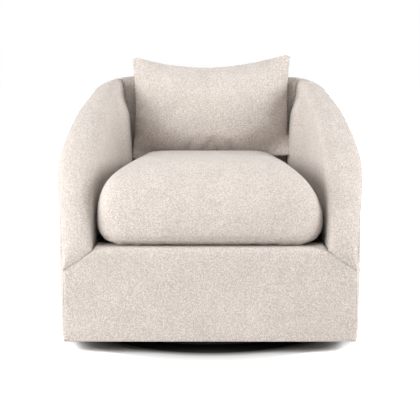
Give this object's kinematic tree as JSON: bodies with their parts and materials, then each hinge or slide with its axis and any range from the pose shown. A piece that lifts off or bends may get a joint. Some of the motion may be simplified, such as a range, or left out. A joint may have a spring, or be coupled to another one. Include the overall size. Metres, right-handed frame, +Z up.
{
  "type": "swivel chair",
  "caption": "Upholstered tub chair in cream boucle that turns on a round black plinth, with arms sweeping up into the back, a loose crowned seat cushion and a lumbar pillow.",
  "frame": {"origin": "on the floor, under the middle of the body, on the swivel axis", "axes": "+Z up along the swivel axis, the chair faces -Y, +X to the right seen from the front"},
  "size_m": [0.826, 0.822, 0.7661],
  "materials": {
    "boucle": "matte looped cream boucle",
    "plinth_black": "matte black paint",
    "glide_plastic": "matte",
    "plate_steel": "zinc plated",
    "fitting_steel": "zinc plated",
    "ball_steel": "polished",
    "spring_steel": "drawn wire",
    "plywood": "sanded, unfinished",
    "hardwood": "planed, unfinished",
    "foam": "open-cell foam and fibre",
    "dark_cloth": "matte woven cloth",
    "webbing": "woven elastic webbing",
    "zip_tape": "woven tape with moulded teeth"
  },
  "bodies": {
    "plinth": {"base_plinth": "plinth_black", "floor_glides": "glide_plastic", "lower_swivel_plate": "plate_steel", "plinth_screws": "fitting_steel", "swivel_rivet": "fitting_steel"},
    "bearing": {"ball_cage": "plate_steel", "bearing_balls": "ball_steel"},
    "seat": {"upper_swivel_plate": "plate_steel", "swivel_bolts": "fitting_steel", "swivel_board": "plywood", "bottom_ring": "plywood", "cross_rails": "hardwood", "front_rail": "hardwood", "corner_blocks": "hardwood", "side_ribs": "plywood", "back_ribs": "plywood", "seat_ring": "plywood", "top_rail": "plywood", "seat_springs": "spring_steel", "spring_clips": "fitting_steel", "back_webbing": "webbing", "deck_pad": "foam", "deck_cloth": "dark_cloth", "arm_pad_left": "boucle", "arm_pad_right": "boucle", "back_pad": "boucle", "outside_left": "boucle", "outside_right": "boucle", "outside_back": "boucle", "front_panel": "boucle", "dust_cover": "dark_cloth"},
    "seat_cushion": {"cushion_cover": "boucle", "cushion_core": "foam", "cushion_zip": "zip_tape"},
    "cushion_slider": {"cushion_zip_slider": "fitting_steel"},
    "pillow": {"pillow_cover": "boucle", "pillow_insert": "foam", "pillow_zip": "zip_tape"},
    "pillow_slider": {"pillow_zip_slider": "fitting_steel"}
  },
  "joints": [
    {"name": "seat_swivel", "type": "hinge", "parent": "plinth", "child": "seat", "pos_m": [0, 0, 0.031], "axis": [0, 0, 1], "continuous": true},
    {"name": "cage_turn", "type": "hinge", "parent": "plinth", "child": "bearing", "pos_m": [0, 0, 0.031], "axis": [0, 0, 1], "continuous": true},
    {"name": "cushion_lift", "type": "slide", "parent": "seat", "child": "seat_cushion", "axis": [0, 0, 1], "range_m": [0, 0.45]},
    {"name": "cushion_zip_run", "type": "slide", "parent": "seat_cushion", "child": "cushion_slider", "axis": [-1, 0, 0], "range_m": [0, 0.32]},
    {"name": "pillow_lift", "type": "slide", "parent": "seat_cushion", "child": "pillow", "axis": [0, 0, 1], "range_m": [0, 0.35]},
    {"name": "pillow_zip_run", "type": "slide", "parent": "pillow", "child": "pillow_slider", "axis": [-1, 0, 0], "range_m": [0, 0.24]}
  ],
  "couplings": [
    {"joint": "cage_turn", "follows": "seat_swivel", "ratio": 0.5}
  ]
}
